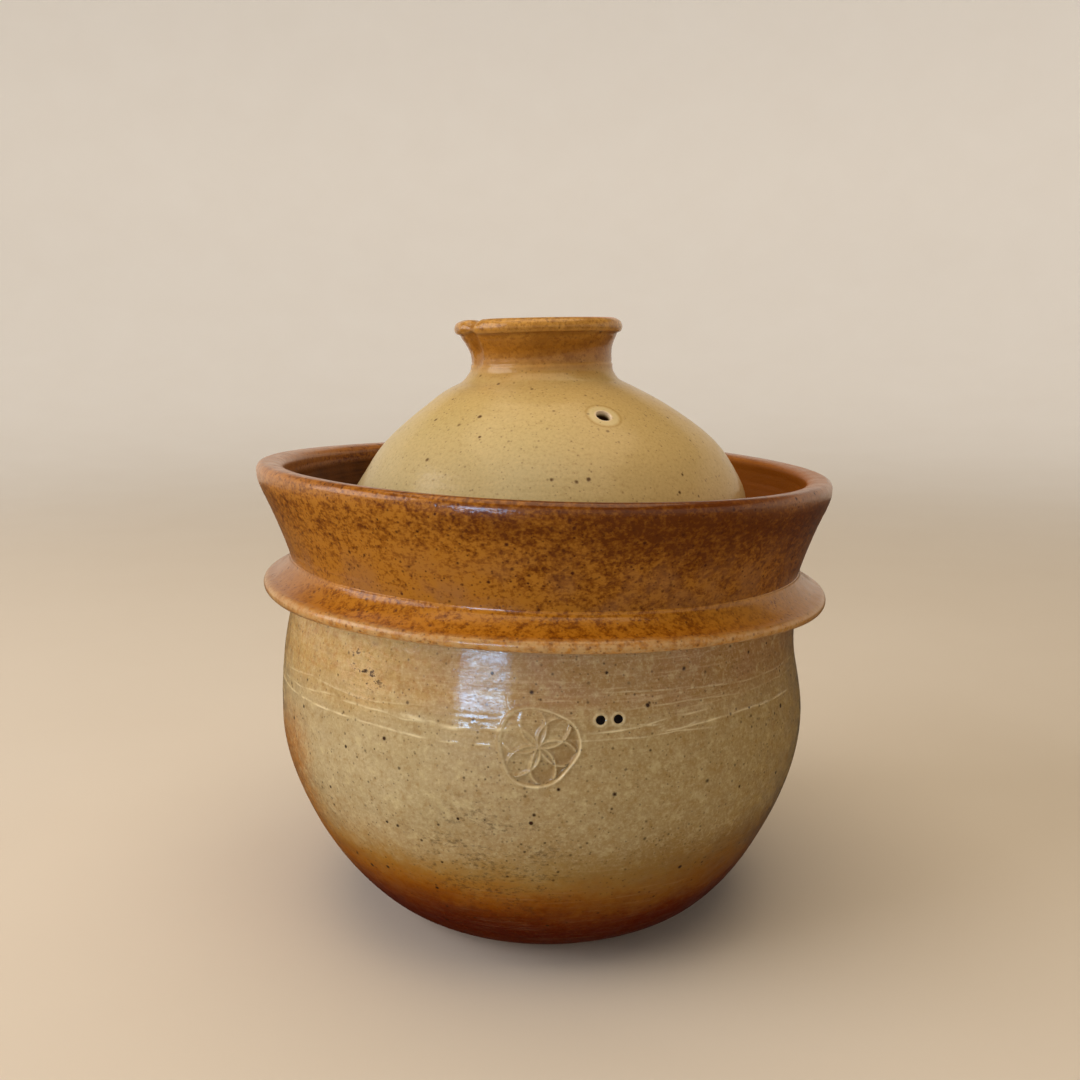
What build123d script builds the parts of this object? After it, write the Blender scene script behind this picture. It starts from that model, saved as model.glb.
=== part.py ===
from build123d import *
import os
from math import cos, radians, sin

# A lidded stoneware rice-cooking pot, wheel-thrown and glazed.
#
# Millimetres, +Z up. The origin is the centre of the flat base, so the pot stands on z = 0 and
# its turning axis is Z. The front, with the seal and the capacity dots, faces -Y.
#
# The potter throws a bowl, a flared collar, a skirt-like flange, a lid dome and a knob ring as
# separate pieces and joins them with slip. Each piece is a solid of revolution, and neighbours
# meet face to face. The lid is loose: it rests on a seat inside the collar.

# Bowl
BASE_RADIUS = 47.5
BELLY_RADIUS = 86.1
BELLY_HEIGHT = 65.0
NECK_RADIUS = 82.4
NECK_HEIGHT = 100.0
WALL = 8.0
FLOOR_HEIGHT = 9.0
FLOOR_RADIUS = 42.0

# Lid seat, a ledge at the top of the bowl
SEAT_HEIGHT = 108.0
THROAT_RADIUS = 63.5
THROAT_BOTTOM = 99.0
THROAT_ROUND = 2.0

# Flared collar above the seat
COLLAR_INNER_RADIUS = 75.5
CREASE_HEIGHT = 113.5
LIP_RADIUS = 92.0
LIP_EDGE_HEIGHT = 140.6
COLLAR_TOP = 144.0
LIP_RIDGE_RADIUS = 86.4
LIP_INNER_RADIUS = 83.8
LIP_INNER_HEIGHT = 142.2

# Flange around the joint of bowl and collar
FLANGE_BOTTOM = 103.5
FLANGE_TIP_RADIUS = 91.3
FLANGE_TIP_HEIGHT = 105.9
FLANGE_EDGE_RADIUS = 90.2
FLANGE_EDGE_TOP = 107.7
FLANGE_EDGE_BOTTOM = 104.1

# Lid dome
BRIM_RADIUS = 74.0
BRIM_THICKNESS = 6.0
BRIM_ROUND = 2.0
DOME_RADIUS = 65.0
DOME_SHOULDER_HEIGHT = 126.0
DOME_INNER_RADIUS = 58.4
DOME_TOP = 170.0
DOME_CEILING = 163.2

# Steam hole through the front right of the dome
STEAM_HOLE_DIAMETER = 4.2
STEAM_HOLE_RADIUS = 41.0
STEAM_HOLE_HEIGHT = 161.8
STEAM_HOLE_AZIMUTH = 22.0
STEAM_HOLE_SLOPE = 54.0

# Knob ring
KNOB_FOOT_RADIUS = 26.5
KNOB_NECK_RADIUS = 22.6
KNOB_NECK_HEIGHT = 178.0
KNOB_LIP_RADIUS = 26.6
KNOB_LIP_HEIGHT = 187.6
KNOB_TOP = 190.5
KNOB_RIDGE_RADIUS = 24.0
KNOB_MOUTH_RADIUS = 20.0
KNOB_MOUTH_HEIGHT = 189.3
KNOB_BORE_RADIUS = 15.5

# Thumb groove pressed down the front left of the knob
GROOVE_RADIUS = 6.0
GROOVE_AZIMUTH = -60.0
GROOVE_BOTTOM = 176.0
GROOVE_DEPTH_TOP = 2.2
GROOVE_DEPTH_BOTTOM = 0.8

# Round seal impression on the front of the bowl
SEAL_DIAMETER = 21.0
SEAL_DEPTH = 1.2
SEAL_SURFACE_RADIUS = 84.8
SEAL_HEIGHT = 77.7
SEAL_SLOPE = 6.5

# Two capacity dots, right of the seal: pressed holes filled with iron slip
DOT_DIAMETER = 2.5
DOT_DEPTH = 2.0
DOT_SURFACE_RADIUS = 83.6
DOT_HEIGHT = 84.7
DOT_AZIMUTHS = (10.3, 13.6)

CUT_OVERSHOOT = 5.0


def turned(*edges):
    """Solid of revolution about Z from a closed outline drawn as (radius, height)."""
    profile = make_face([Plane.XZ * edge for edge in edges])
    return revolve(profile, Axis.Z)


def outward(azimuth, slope):
    """Unit vector that leans outward, azimuth degrees from the front and slope degrees up."""
    turn = radians(azimuth)
    rise = radians(slope)
    return Vector(sin(turn) * cos(rise), -cos(turn) * cos(rise), sin(rise))


def on_axis_ring(radius, height, azimuth):
    """Point at a radius and height, azimuth degrees from the front towards +X."""
    turn = radians(azimuth)
    return Vector(radius * sin(turn), -radius * cos(turn), height)


def drill(surface_point, direction, diameter, depth):
    """Cylinder that enters a surface along a direction, to a depth below the surface."""
    bottom = surface_point - direction * depth
    tool = Cylinder(
        diameter / 2,
        depth + CUT_OVERSHOOT,
        align=(Align.CENTER, Align.CENTER, Align.MIN),
    )
    return Plane(origin=bottom, z_dir=direction) * tool


def smooth(*points, tangents):
    """Spline with given end directions, at unit speed at both ends so that it doesn't bulge."""
    return Spline(*points, tangents=tangents, tangent_scalars=[1, 1])


def rounded_lip(outer_edge, ridge, inner_edge):
    """Two curves that round a lip: vertical at both edges and level at the ridge."""
    rising = smooth(outer_edge, ridge, tangents=[(0, 1), (-1, 0)])
    falling = smooth(ridge, inner_edge, tangents=[(-1, 0), (0, -1)])
    return rising, falling


def bowl_blank():
    """Bowl body: round belly, flat base and an inward ledge that carries the lid."""
    outer = smooth(
        (BASE_RADIUS, 0),
        (63.5, 11.2),
        (75.6, 28.4),
        (BELLY_RADIUS, BELLY_HEIGHT),
        (83.5, 86.0),
        (NECK_RADIUS, NECK_HEIGHT),
        tangents=[(1, 0.3), (0, 1)],
    )
    neck = Line((NECK_RADIUS, NECK_HEIGHT), (NECK_RADIUS, SEAT_HEIGHT))
    seat = Line((NECK_RADIUS, SEAT_HEIGHT), (THROAT_RADIUS + THROAT_ROUND, SEAT_HEIGHT))
    seat_edge = RadiusArc(
        (THROAT_RADIUS + THROAT_ROUND, SEAT_HEIGHT),
        (THROAT_RADIUS, SEAT_HEIGHT - THROAT_ROUND),
        -THROAT_ROUND,
    )
    throat = Line(
        (THROAT_RADIUS, SEAT_HEIGHT - THROAT_ROUND), (THROAT_RADIUS, THROAT_BOTTOM + THROAT_ROUND)
    )
    inner = smooth(
        (THROAT_RADIUS, THROAT_BOTTOM + THROAT_ROUND),
        (73.6, 87.5),
        (BELLY_RADIUS - WALL, BELLY_HEIGHT),
        (68.6, 32.4),
        (57.3, 16.9),
        (FLOOR_RADIUS, FLOOR_HEIGHT),
        tangents=[(0.3, -1), (-1, 0)],
    )
    floor = Line((FLOOR_RADIUS, FLOOR_HEIGHT), (0, FLOOR_HEIGHT))
    axis = Line((0, FLOOR_HEIGHT), (0, 0))
    base = Line((0, 0), (BASE_RADIUS, 0))
    return turned(outer, neck, seat, seat_edge, throat, inner, floor, axis, base)


def dot_tools():
    """Two short cylinders that enter the bowl's shoulder, one per capacity dot."""
    return [
        drill(on_axis_ring(DOT_SURFACE_RADIUS, DOT_HEIGHT, azimuth), outward(azimuth, 0),
              DOT_DIAMETER, DOT_DEPTH)
        for azimuth in DOT_AZIMUTHS
    ]


def bowl():
    """Bowl with its seal impression and the two pockets of the capacity dots."""
    seal = drill(
        on_axis_ring(SEAL_SURFACE_RADIUS, SEAL_HEIGHT, 0),
        outward(0, SEAL_SLOPE),
        SEAL_DIAMETER,
        SEAL_DEPTH,
    )
    body = bowl_blank() - seal
    for tool in dot_tools():
        body -= tool
    return body


def capacity_dots():
    """Iron slip that fills the two pockets flush with the bowl's surface."""
    blank = bowl_blank()
    return Compound(children=[(tool & blank).solid() for tool in dot_tools()])


def collar():
    """Flared collar that keeps a boiling pot from spilling over."""
    joint = Line((COLLAR_INNER_RADIUS, SEAT_HEIGHT), (NECK_RADIUS, SEAT_HEIGHT))
    root = Line((NECK_RADIUS, SEAT_HEIGHT), (NECK_RADIUS, CREASE_HEIGHT))
    flare = smooth(
        (NECK_RADIUS, CREASE_HEIGHT),
        (90.5, 136.0),
        (LIP_RADIUS, LIP_EDGE_HEIGHT),
        tangents=[(0.38, 1), (0, 1)],
    )
    lip = rounded_lip(
        (LIP_RADIUS, LIP_EDGE_HEIGHT),
        (LIP_RIDGE_RADIUS, COLLAR_TOP),
        (LIP_INNER_RADIUS, LIP_INNER_HEIGHT),
    )
    inside = smooth(
        (LIP_INNER_RADIUS, LIP_INNER_HEIGHT),
        (COLLAR_INNER_RADIUS, SEAT_HEIGHT),
        tangents=[(0, -1), (-0.1, -1)],
    )
    return turned(joint, root, flare, *lip, inside)


def flange():
    """Skirt-like ring around the joint, which keeps spills off the flame and gives a grip."""
    bore = Line((NECK_RADIUS, CREASE_HEIGHT), (NECK_RADIUS, FLANGE_BOTTOM))
    underside = Line((NECK_RADIUS, FLANGE_BOTTOM), (FLANGE_EDGE_RADIUS, FLANGE_EDGE_BOTTOM))
    edge = ThreePointArc(
        (FLANGE_EDGE_RADIUS, FLANGE_EDGE_BOTTOM),
        (FLANGE_TIP_RADIUS, FLANGE_TIP_HEIGHT),
        (FLANGE_EDGE_RADIUS, FLANGE_EDGE_TOP),
    )
    top = smooth(
        (FLANGE_EDGE_RADIUS, FLANGE_EDGE_TOP),
        (NECK_RADIUS, CREASE_HEIGHT),
        tangents=[(-1, 0.25), (-1, 1.1)],
    )
    return turned(bore, underside, edge, top)


def lid_dome():
    """Dome of the lid, with a brim that rests on the seat and one steam hole."""
    brim_top = SEAT_HEIGHT + BRIM_THICKNESS
    rest = Line((DOME_INNER_RADIUS, SEAT_HEIGHT), (BRIM_RADIUS, SEAT_HEIGHT))
    brim_edge = Line((BRIM_RADIUS, SEAT_HEIGHT), (BRIM_RADIUS, brim_top - BRIM_ROUND))
    brim_corner = RadiusArc(
        (BRIM_RADIUS, brim_top - BRIM_ROUND), (BRIM_RADIUS - BRIM_ROUND, brim_top), -BRIM_ROUND
    )
    brim_face = Line(
        (BRIM_RADIUS - BRIM_ROUND, brim_top), (DOME_RADIUS + BRIM_ROUND, brim_top)
    )
    brim_fillet = RadiusArc(
        (DOME_RADIUS + BRIM_ROUND, brim_top), (DOME_RADIUS, brim_top + BRIM_ROUND), BRIM_ROUND
    )
    wall = Line((DOME_RADIUS, brim_top + BRIM_ROUND), (DOME_RADIUS, DOME_SHOULDER_HEIGHT))
    crown = smooth(
        (DOME_RADIUS, DOME_SHOULDER_HEIGHT),
        (63.1, 139.2),
        (48.2, 156.4),
        (KNOB_FOOT_RADIUS, DOME_TOP),
        tangents=[(0, 1), (-1, 0.45)],
    )
    plateau = Line((KNOB_FOOT_RADIUS, DOME_TOP), (0, DOME_TOP))
    axis = Line((0, DOME_TOP), (0, DOME_CEILING))
    ceiling = smooth(
        (0, DOME_CEILING),
        (24.0, 161.2),
        (44.0, 151.0),
        (56.4, 137.0),
        (DOME_INNER_RADIUS, DOME_SHOULDER_HEIGHT),
        tangents=[(1, 0), (0, -1)],
    )
    inner_wall = Line((DOME_INNER_RADIUS, DOME_SHOULDER_HEIGHT), (DOME_INNER_RADIUS, SEAT_HEIGHT))
    dome = turned(
        rest, brim_edge, brim_corner, brim_face, brim_fillet, wall, crown,
        plateau, axis, ceiling, inner_wall,
    )
    steam_hole = drill(
        on_axis_ring(STEAM_HOLE_RADIUS, STEAM_HOLE_HEIGHT, STEAM_HOLE_AZIMUTH),
        outward(STEAM_HOLE_AZIMUTH, STEAM_HOLE_SLOPE),
        STEAM_HOLE_DIAMETER,
        3 * CUT_OVERSHOOT,
    )
    return dome - steam_hole


def thumb_groove():
    """Leaning cylinder that presses the groove into the knob's side."""
    lower = on_axis_ring(
        KNOB_NECK_RADIUS + GROOVE_RADIUS - GROOVE_DEPTH_BOTTOM, GROOVE_BOTTOM, GROOVE_AZIMUTH
    )
    upper = on_axis_ring(
        KNOB_LIP_RADIUS + GROOVE_RADIUS - GROOVE_DEPTH_TOP, KNOB_TOP, GROOVE_AZIMUTH
    )
    lean = upper - lower
    tool = Cylinder(
        GROOVE_RADIUS,
        lean.length + CUT_OVERSHOOT,
        align=(Align.CENTER, Align.CENTER, Align.MIN),
    )
    return Plane(origin=lower, z_dir=lean.normalized()) * tool


def lid_knob():
    """Hollow knob ring on top of the dome, narrow at its neck and flared at its lip."""
    foot = Line((KNOB_BORE_RADIUS, DOME_TOP), (KNOB_FOOT_RADIUS, DOME_TOP))
    neck = smooth(
        (KNOB_FOOT_RADIUS, DOME_TOP),
        (KNOB_NECK_RADIUS, KNOB_NECK_HEIGHT),
        (25.6, 185.5),
        (KNOB_LIP_RADIUS, KNOB_LIP_HEIGHT),
        tangents=[(-1, 0.45), (0, 1)],
    )
    lip = rounded_lip(
        (KNOB_LIP_RADIUS, KNOB_LIP_HEIGHT),
        (KNOB_RIDGE_RADIUS, KNOB_TOP),
        (KNOB_MOUTH_RADIUS, KNOB_MOUTH_HEIGHT),
    )
    mouth = smooth(
        (KNOB_MOUTH_RADIUS, KNOB_MOUTH_HEIGHT),
        (KNOB_BORE_RADIUS, DOME_TOP),
        tangents=[(0, -1), (0, -1)],
    )
    return turned(foot, neck, *lip, mouth) - thumb_groove()


PIECES = {
    "bowl": bowl,
    "collar": collar,
    "flange": flange,
    "capacity_dots": capacity_dots,
    "lid_dome": lid_dome,
    "lid_knob": lid_knob,
}

os.makedirs("parts", exist_ok=True)
for name, make in PIECES.items():
    export_step(make(), f"parts/{name}.step")
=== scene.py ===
import math
from collections import defaultdict

import bmesh
import bpy
import numpy as np
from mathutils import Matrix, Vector


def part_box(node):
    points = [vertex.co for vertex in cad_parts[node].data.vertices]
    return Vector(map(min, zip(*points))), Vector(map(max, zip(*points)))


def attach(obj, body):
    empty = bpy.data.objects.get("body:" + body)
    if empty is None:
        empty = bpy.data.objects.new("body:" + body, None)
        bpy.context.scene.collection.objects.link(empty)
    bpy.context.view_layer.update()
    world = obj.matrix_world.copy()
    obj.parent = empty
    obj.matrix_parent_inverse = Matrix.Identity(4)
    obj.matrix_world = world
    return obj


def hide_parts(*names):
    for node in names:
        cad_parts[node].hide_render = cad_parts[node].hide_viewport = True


# A lidded stoneware rice pot, thrown and glazed by hand. The CAD gives each piece's turned outline;
# here every piece is turned again as a fine mesh, with the throwing lines, leans, presses and glaze
# breaks of the real one. Lengths are in millimetres until a mesh is made. Azimuths are in degrees
# from the front (-Y), positive towards +X.

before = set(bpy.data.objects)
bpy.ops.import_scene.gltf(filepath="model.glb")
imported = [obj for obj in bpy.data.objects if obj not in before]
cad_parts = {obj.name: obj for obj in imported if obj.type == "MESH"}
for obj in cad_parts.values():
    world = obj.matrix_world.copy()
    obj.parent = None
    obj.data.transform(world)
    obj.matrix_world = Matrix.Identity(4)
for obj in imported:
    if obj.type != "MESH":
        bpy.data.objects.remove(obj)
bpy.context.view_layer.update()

MM = 0.001
rng = np.random.default_rng(11)

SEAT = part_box("bowl")[1].z / MM
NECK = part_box("collar")[0].z / MM
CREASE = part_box("flange")[1].z / MM
LIP_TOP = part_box("collar")[1].z / MM
LIP_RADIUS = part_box("collar")[1].x / MM
KNOB_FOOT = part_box("lid_knob")[0].z / MM
KNOB_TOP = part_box("lid_knob")[1].z / MM
KNOB_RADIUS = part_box("lid_knob")[1].x / MM
KNOB_FOOT_RADIUS = 26.5

# Leans of the hand-made piece
COLLAR_TILT = -0.033
BELLY_OFFSET = -1.1
KNOB_TILT = 0.02
KNOB_OFFSET = -2.6
DOME_OFFSET = 1.0
NECK_OFFSET = 1.2

# Height of the bowl's widest ring, its radius, and how fast the round shoulder draws in above it
BELLY_HEIGHT = 65.0
BELLY_RADIUS = 86.1
SHOULDER_CURVE = 0.00285

# Seal on the front of the bowl: a plain rosette
SEAL_AZIMUTH = -0.8
SEAL_HEIGHT = 77.7
SEAL_RADIUS = 10.5
SEAL_DEPTH = 0.9
PETAL_RADIUS = 6.6

# Height of the outer edge of the collar's lip
LIP_EDGE = 140.6

# Distance of the capacity dots from the axis in the CAD, and the rounded outline of each drop of
# slip: radius, and distance out of the wall
DOT_REACH = 83.62
DOT_OUTLINE = (
    (0.0, 0.02), (0.5, 0.04), (0.9, 0.10), (1.15, 0.13),
    (1.27, 0.08), (1.33, -0.1), (1.33, -0.9), (0.0, -0.9),
)

# Azimuths of the bowl's finely meshed front, where the seal and the dots are
DETAILED_SECTOR = (-9.5, 17.0)

# Radius where the flange leaves the collar
FLANGE_ROOT = 82.4

# Steam hole in the dome. The shift is how far the dome's lean carries it to the right.
HOLE_AZIMUTH = 22.0
HOLE_RADIUS = 41.0
HOLE_HEIGHT = 161.8
HOLE_SLOPE = 54.0
HOLE_DIAMETER = 4.2
HOLE_SHIFT = 1.4

# The hole's shape along its axis: distance out from the glaze, and width as a share of the hole's
HOLE_FLARE = (
    (-12, 1.5), (-7.5, 1.02), (-1.6, 1.0), (-0.7, 1.06),
    (-0.15, 1.22), (0.25, 1.55), (0.8, 2.3), (3, 3.4),
)

# Knob: height of the step under its lip and of the line scored round its neck, and the groove
# pressed down its front left
LIP_STEP = 185.9
NECK_LINE = 176.4
GROOVE_AZIMUTH = -53.0
GROOVE_WIDTH = 5.6
GROOVE_DEPTH = 1.5


# ==== outlines from the CAD

def cad_outline(node):
    """Ordered (radius, height) points of a turned CAD node, read off its mesh along y = 0, x > 0."""
    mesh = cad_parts[node].data
    place = {}
    for vertex in mesh.vertices:
        x, y, z = (value / MM for value in vertex.co)
        if abs(y) < 0.002 and x > -0.001:
            place[vertex.index] = (round(x, 3), round(z, 3))
    links = defaultdict(set)
    for edge in mesh.edges:
        a, b = (place.get(index) for index in edge.vertices)
        if a and b and a != b:
            links[a].add(b)
            links[b].add(a)
    ends = [point for point in links if len(links[point]) == 1]
    chain = [min(ends or links, key=lambda point: (point[1], point[0]))]
    ahead = sorted(links[chain[0]])
    while ahead:
        chain.append(ahead[0])
        ahead = sorted(links[chain[-1]] - set(chain))
    if ends:
        chain = to_axis(chain[0])[::-1] + chain + to_axis(chain[-1])
    else:
        chain.append(chain[0])
    points = np.array(chain)
    loop = np.vstack([points, points[:1]])
    area = np.sum(loop[:-1, 0] * loop[1:, 1] - loop[1:, 0] * loop[:-1, 1])
    return points if area > 0 else points[::-1]


def to_axis(point):
    """Points of the flat disc between an outline's end and the axis, nearest the end first."""
    radius, height = point
    steps = math.ceil(radius / 3)
    return [(radius * (1 - k / steps), height) for k in range(1, steps + 1)]


def corners_of(points):
    """Indexes of an outline's sharp corners, with both its ends and the joint under the knob."""
    legs = np.diff(points, axis=0)
    heading = np.arctan2(legs[:, 1], legs[:, 0])
    turn = np.abs((np.diff(heading) + np.pi) % (2 * np.pi) - np.pi)
    joint = np.linalg.norm(points[1:-1] - (KNOB_FOOT_RADIUS, KNOB_FOOT), axis=1) < 0.05
    inner = np.flatnonzero((turn > math.radians(35)) | joint)
    return [0] + [i + 1 for i in inner] + [len(points) - 1]


def rounded(points):
    """Fine, evenly spaced version of one corner-to-corner stretch, without the facets."""
    legs = np.linalg.norm(np.diff(points, axis=0), axis=1)
    at = np.r_[0, np.cumsum(legs)]
    fine = np.linspace(0, at[-1], max(4, math.ceil(at[-1] / 0.2)) + 1)
    line = np.column_stack([np.interp(fine, at, points[:, k]) for k in (0, 1)])
    padded = np.r_[legs[:1], legs, legs[-1:]]
    shortest = np.minimum(np.minimum(padded[:-2], padded[1:-1]), padded[2:])
    reach = 0.6 * shortest[np.clip(np.searchsorted(at, fine, "right") - 1, 0, len(legs) - 1)]
    reach = np.clip(reach, 0.05, 0.25 * at[-1])
    mirrored = np.vstack([2 * line[0] - line[:0:-1], line, 2 * line[-1] - line[-2::-1]])
    spread = np.r_[fine - at[-1], fine[1:], fine[1:] + at[-1]]
    weight = np.exp(-0.5 * ((spread[None, :] - fine[:, None]) / reach[:, None]) ** 2)
    line = (weight @ mirrored) / weight.sum(axis=1)[:, None]
    line[[0, -1]] = points[[0, -1]]
    return line


def resampled(points, spacing):
    """Points of a stretch placed again at the spacing wanted at each (radius, height)."""
    legs = np.linalg.norm(np.diff(points, axis=0), axis=1)
    middles = (points[:-1] + points[1:]) / 2
    count = np.r_[0, np.cumsum(legs / spacing(middles[:, 0], middles[:, 1]))]
    wanted = np.linspace(0, count[-1], max(2, math.ceil(count[-1])) + 1)
    return np.column_stack([np.interp(wanted, count, points[:, k]) for k in (0, 1)])


def turned_profile(node, spacing):
    """Smooth outline of a node with its outward normal, its bend (positive where it bulges), and
    where its corners are, for one ring per point."""
    outline = cad_outline(node)
    stops = corners_of(outline)
    stretches = [
        resampled(rounded(outline[a:b + 1]), spacing) for a, b in zip(stops[:-1], stops[1:])
    ]
    points = np.vstack([stretch[:-1] for stretch in stretches] + [outline[-1:]])
    corner = np.zeros(len(points), bool)
    corner[np.cumsum([0] + [len(stretch) - 1 for stretch in stretches])] = True
    legs = np.diff(points, axis=0)
    closed = np.allclose(outline[0], outline[-1])
    before = np.vstack([legs[-1:] if closed else legs[:1], legs])
    after = np.vstack([legs, legs[:1] if closed else legs[-1:]])
    along = before / np.linalg.norm(before, axis=1)[:, None]
    along += after / np.linalg.norm(after, axis=1)[:, None]
    along /= np.linalg.norm(along, axis=1)[:, None]
    turn = np.arctan2(
        before[:, 0] * after[:, 1] - before[:, 1] * after[:, 0], np.sum(before * after, axis=1)
    )
    bend = turn / (np.linalg.norm(before, axis=1) + np.linalg.norm(after, axis=1)) * 2
    beside = np.convolve(np.pad(corner, 3, mode="edge"), np.ones(7), mode="valid") > 0
    bend = np.where(beside, 0, np.convolve(np.pad(bend, 2, mode="edge"), np.ones(5) / 5, mode="valid"))
    last = -1 if closed else None
    normal = np.column_stack([along[:, 1], -along[:, 0]])
    return points[:last], normal[:last], bend[:last], corner[:last], closed


# ==== shaping helpers

def blend_in(value, low, high):
    """Smooth 0 to 1 as value goes from low to high."""
    part = np.clip((value - low) / (high - low), 0, 1)
    return part * part * (3 - 2 * part)


def bump(value, width):
    """Round bump of height 1 at value 0."""
    return np.exp(-0.5 * (value / width) ** 2)


def swell(azimuth, height, turns, period, count=6):
    """Slow wobble of the surface, about -1 to 1, that closes on itself round the pot."""
    total = 0.0
    for _ in range(count):
        around = rng.integers(0, turns + 1)
        along = rng.uniform(-1, 1) * 2 * np.pi / period
        phase = rng.uniform(0, 2 * np.pi)
        total = total + np.cos(np.radians(azimuth) * around + along * height + phase)
    return total / math.sqrt(count)


def throwing_lines(azimuth, height, finest, widest, count=14):
    """Fine turned rings, about -1 to 1, that wander a little and fade in and out round the pot."""
    total = 0.0
    for _ in range(count):
        period = finest * (widest / finest) ** rng.uniform()
        drift = rng.uniform(-0.5, 0.5) * np.sin(np.radians(azimuth) + rng.uniform(0, 2 * np.pi))
        fade = 0.6 + 0.4 * np.cos(np.radians(azimuth) * rng.integers(1, 4) + rng.uniform(0, 2 * np.pi))
        total = total + fade * np.cos(2 * np.pi * (height + drift) / period + rng.uniform(0, 2 * np.pi))
    return total / math.sqrt(count)


def wrapped(azimuth):
    """Azimuth brought between -180 and 180 degrees."""
    return (azimuth + 180) % 360 - 180


# ==== turned meshes

def columns(radius, step, fine_step=None, fine_from=0.0, fine_to=0.0):
    """Azimuths of a mesh's columns: one per step of arc, closer together over a fine sector."""
    if fine_step is None:
        return np.linspace(0, 360, math.ceil(2 * np.pi * radius / step), endpoint=False)
    sector = fine_to - fine_from
    close = math.ceil(math.radians(sector) * radius / fine_step)
    wide = math.ceil(math.radians(360 - sector) * radius / step)
    return np.r_[
        np.linspace(fine_from, fine_to, close, endpoint=False),
        np.linspace(fine_to, fine_from + 360, wide, endpoint=False),
    ]


def add_mesh(name, places, faces):
    """New object in the scene with a mesh of these places and faces."""
    mesh = bpy.data.meshes.new(name)
    mesh.from_pydata(places, [], faces)
    piece = bpy.data.objects.new(name, mesh)
    bpy.context.collection.objects.link(piece)
    return piece


def ring_faces(start, rows, sides):
    """Quads between neighbouring rows of points that each go once round."""
    faces = []
    for row in range(rows - 1):
        for k in range(sides):
            a, b = start + row * sides + k, start + row * sides + (k + 1) % sides
            faces.append((a, b, b + sides, a + sides))
    return faces


def grid_mesh(name, places, corner, closed, attributes):
    """Smooth mesh from a grid of places, rings by columns, creased along the rings at corners. An
    open grid's first and last rings are points."""
    rings, cols = places.shape[:2]
    index = np.arange(rings * cols).reshape(rings, cols)
    keep = np.ones(rings * cols, bool)
    if not closed:
        for ring in (0, -1):
            keep[index[ring, 1:]] = False
            index[ring, 1:] = index[ring, 0]
    number = np.cumsum(keep) - 1
    index = number[index]
    low = index if closed else index[:-1]
    high = np.roll(index, -1, axis=0) if closed else index[1:]
    quads = np.stack([low, np.roll(low, -1, axis=1), np.roll(high, -1, axis=1), high], axis=-1)
    faces = [list(dict.fromkeys(quad)) for quad in quads.reshape(-1, 4).tolist()]
    piece = add_mesh(name, (places.reshape(-1, 3)[keep] * MM).tolist(), faces)
    mesh = piece.data
    for key, values in attributes.items():
        layer = mesh.attributes.new(key, "FLOAT", "POINT")
        spread = np.broadcast_to(values, (rings, cols)).reshape(-1)
        layer.data.foreach_set("value", spread[keep].astype("f"))
    mesh.polygons.foreach_set("use_smooth", [True] * len(faces))
    ring = np.repeat(np.where(corner, np.arange(rings), -1), cols)[keep]
    ends = np.zeros(len(mesh.edges) * 2, int)
    mesh.edges.foreach_get("vertices", ends)
    first, second = ring[ends[::2]], ring[ends[1::2]]
    creased = mesh.attributes.new("sharp_edge", "BOOLEAN", "EDGE")
    creased.data.foreach_set("value", (first == second) & (first >= 0))
    return piece


def turned_piece(node, azimuths, spacing, shape):
    """Turns a node's outline into a mesh. shape(azimuth, radius, height, normal, bend) gives the
    offset along the normal, a shift of the finished places, and the mesh's attributes."""
    points, normal, bend, corner, closed = turned_profile(node, spacing)
    azimuth = azimuths[None, :]
    radius, height = points[:, :1], points[:, 1:]
    facing = (normal[:, :1], normal[:, 1:])
    offset, shift, attributes = shape(azimuth, radius, height, facing, bend[:, None])
    radius = radius + offset * facing[0]
    height = height + offset * facing[1]
    if not closed:
        radius[[0, -1]] = 0
    turn = np.radians(azimuth)
    places = np.stack(
        [radius * np.sin(turn), -radius * np.cos(turn), height + 0 * turn], axis=-1
    )
    return grid_mesh(node + "_glazed", places + shift(places), corner, closed, attributes)


def stand_in(piece, node, body, material):
    """Shows a piece of a material in place of its CAD node, on the node's body."""
    piece.data.materials.clear()
    piece.data.materials.append(material)
    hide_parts(node)
    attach(piece, body)
    return piece


def lifted(lean, wave):
    """A lean with a piece's own wave added to the heights."""
    def shift(places):
        moved = lean(places)
        moved[..., 2] += wave
        return moved
    return shift


# ==== the pot

def pot_lean(places):
    """Belly a little left of the foot, and the collar, flange and shoulder dropping to the right.
    The lid's seat inside stays level."""
    x, y, z = places[..., 0], places[..., 1], places[..., 2]
    radius = np.hypot(x, y)
    outside = blend_in(radius, 76.5, 81) * blend_in(z, 70, 100)
    above = blend_in(z, SEAT + 7, SEAT + 26)
    shift = np.zeros_like(places)
    shift[..., 0] = BELLY_OFFSET * blend_in(z, 5, 35) * (1 - 0.7 * blend_in(z, 84, 102))
    shift[..., 2] = COLLAR_TILT * x * np.maximum(outside, above)
    return shift


def dot_azimuths():
    """Azimuths of the two capacity dots and their height, from the CAD node."""
    low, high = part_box("capacity_dots")
    middle = (low.x + high.x) / 2
    found = []
    for side in (-1, 1):
        cluster = [v.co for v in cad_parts["capacity_dots"].data.vertices
                   if (v.co.x - middle) * side > 0]
        x = sum(co.x for co in cluster) / len(cluster)
        y = sum(co.y for co in cluster) / len(cluster)
        found.append(math.degrees(math.atan2(x, -y)))
    return found, (low.z + high.z) / 2 / MM


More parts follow.
